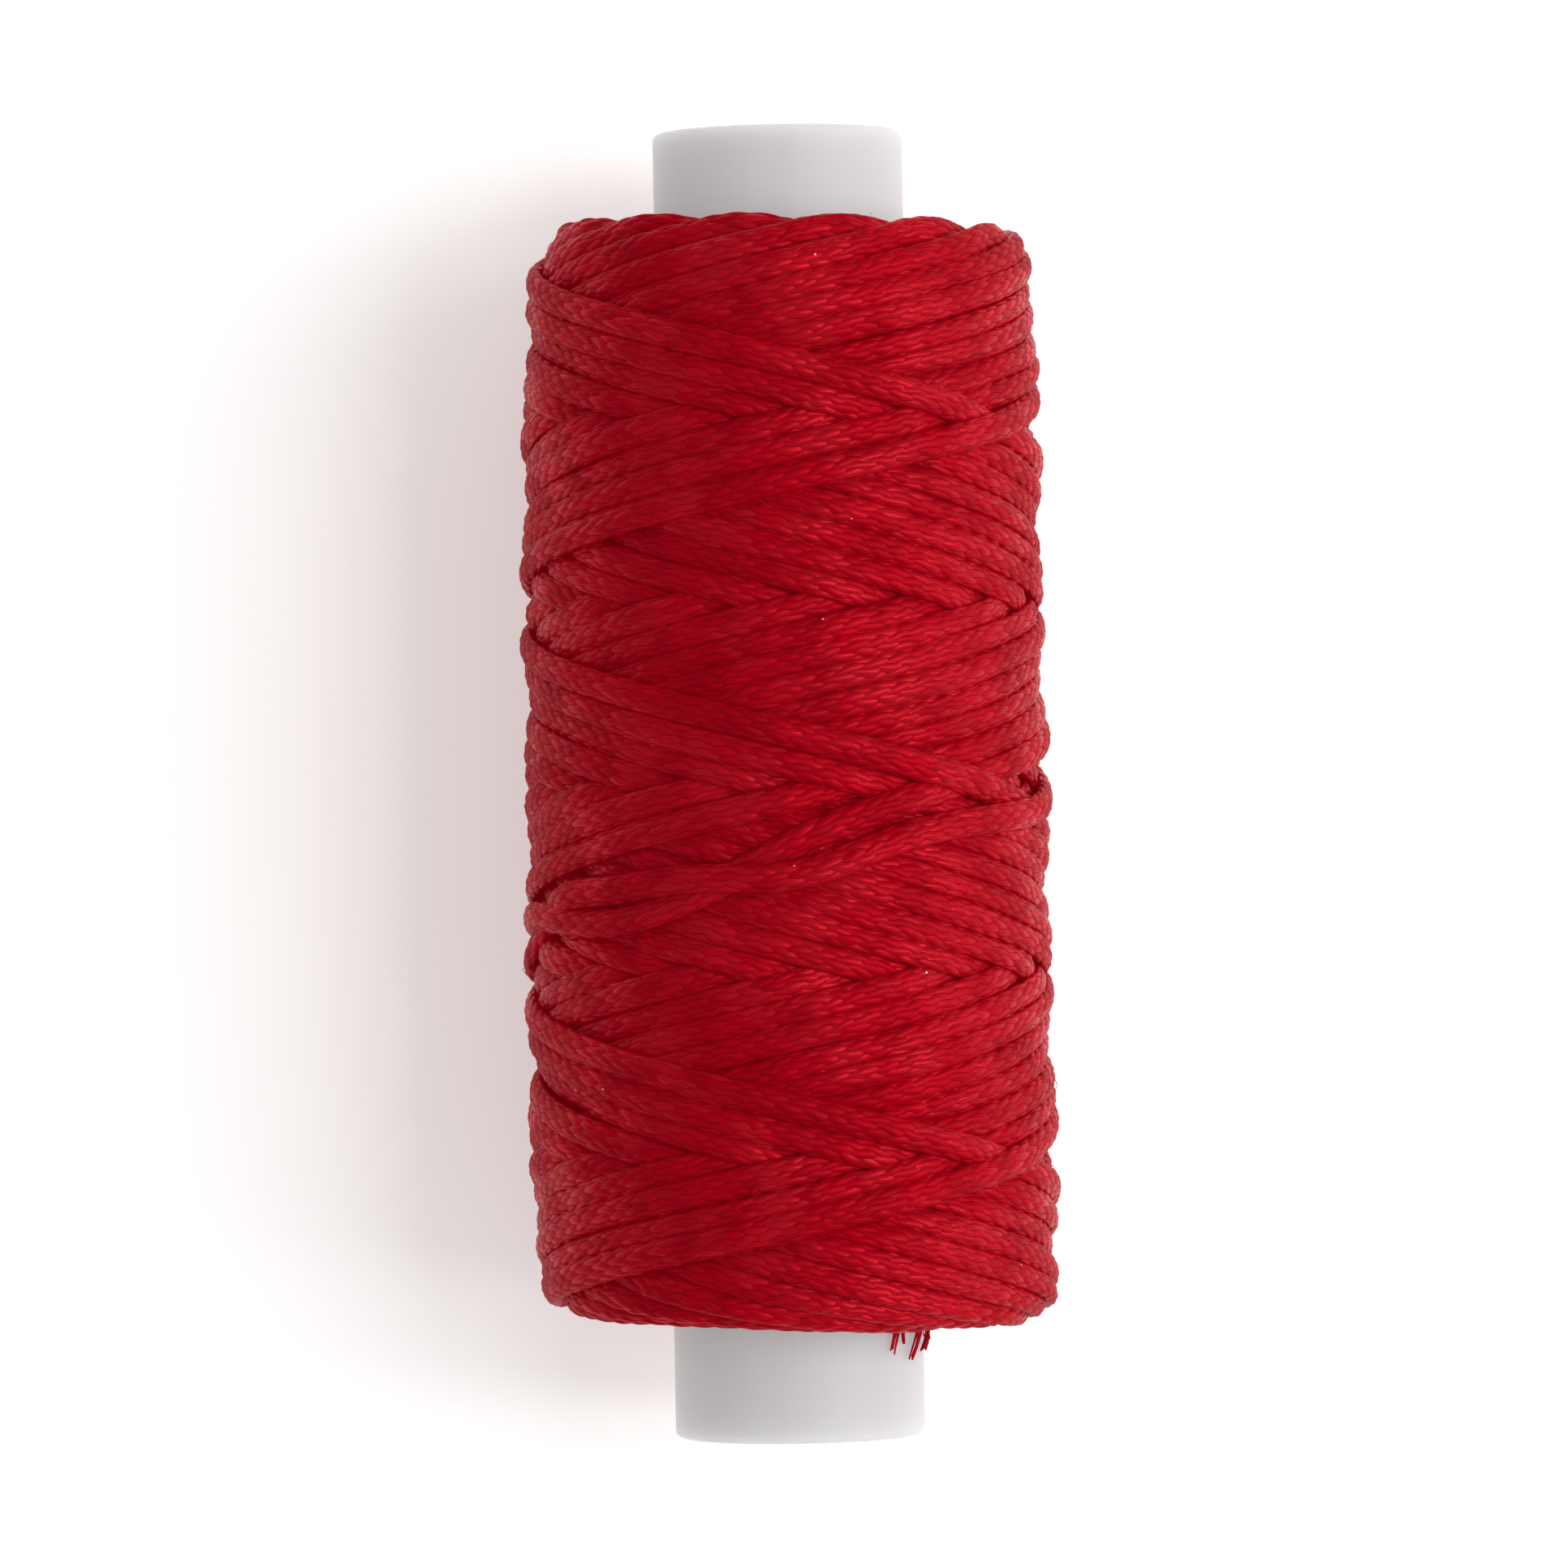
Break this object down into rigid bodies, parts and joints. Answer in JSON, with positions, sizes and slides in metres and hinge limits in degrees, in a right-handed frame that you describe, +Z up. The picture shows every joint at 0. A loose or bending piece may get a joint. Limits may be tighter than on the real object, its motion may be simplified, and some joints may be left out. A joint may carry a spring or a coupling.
{
  "type": "waxed thread spool",
  "caption": "Plain white plastic tube wound with flat braided waxed cord in crossing diagonal layers, both tube ends left bare, frayed start yarns at one end.",
  "frame": {"origin": "on the surface the spool lies on, under the middle of its length", "axes": "+Y along the spool's axis towards the end with the shorter bare tube, +Z up, +X to the right of someone who looks down on it with +Y away"},
  "size_m": [0.025, 0.0626, 0.025],
  "materials": {
    "tube_plastic": "milky white natural polyethylene, smooth satin",
    "waxed_thread": "deep red flat-braided polyester cord with a waxy sheen"
  },
  "bodies": {
    "root": {"core_tube": "tube_plastic", "thread_winding": "waxed_thread", "thread_start_left": "waxed_thread", "thread_start_right": "waxed_thread"}
  },
  "joints": []
}
